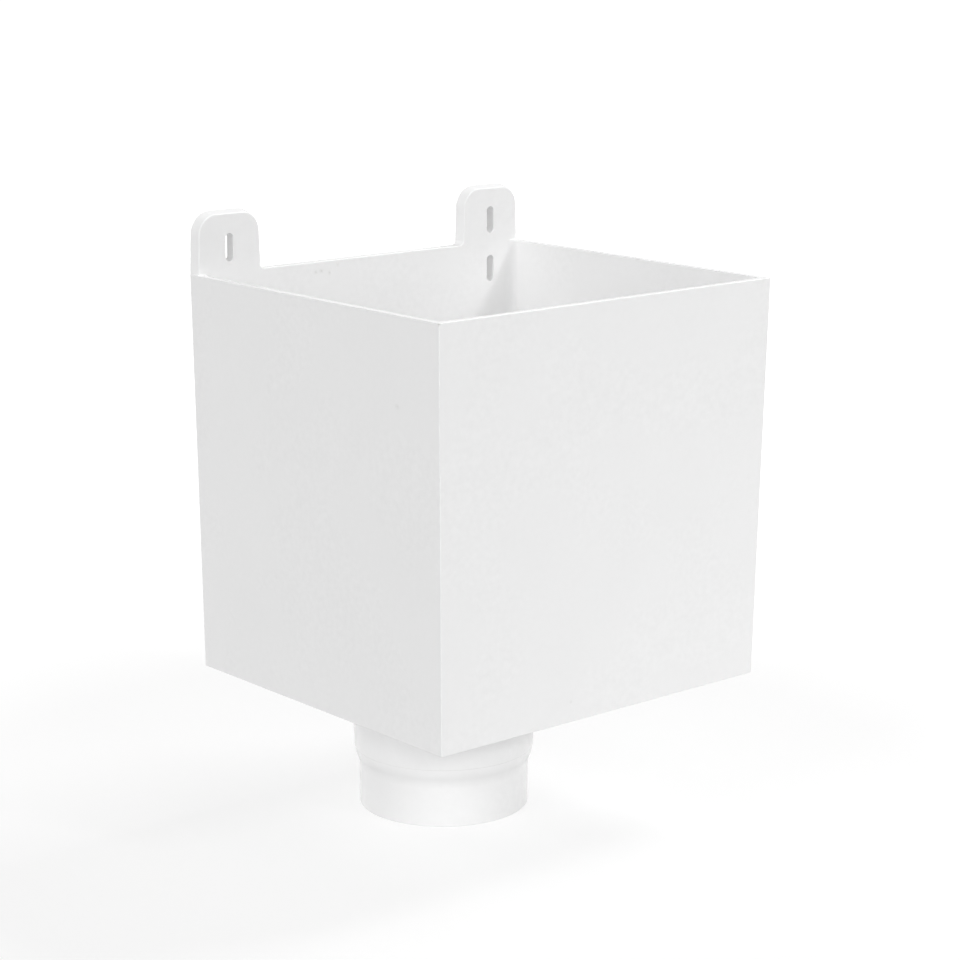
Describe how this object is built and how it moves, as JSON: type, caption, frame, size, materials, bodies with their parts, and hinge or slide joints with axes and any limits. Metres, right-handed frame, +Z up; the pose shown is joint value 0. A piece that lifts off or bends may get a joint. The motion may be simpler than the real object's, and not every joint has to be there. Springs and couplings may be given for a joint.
{
  "type": "downpipe hopper head",
  "caption": "Open-topped drafted plastic box with a thick flat back, raised slotted lugs for wall screws and a stepped round outlet below that leads rainwater into a downpipe.",
  "frame": {"origin": "centre of the outlet spigot's lower end", "axes": "+X to the right as seen from the front, +Y towards the wall behind the flat back, +Z up along the outlet's axis"},
  "size_m": [0.24, 0.22, 0.352],
  "materials": {
    "white_pvc": "semi-gloss white PVC, as moulded"
  },
  "bodies": {
    "root": {"hopper_head": "white_pvc"}
  },
  "joints": []
}
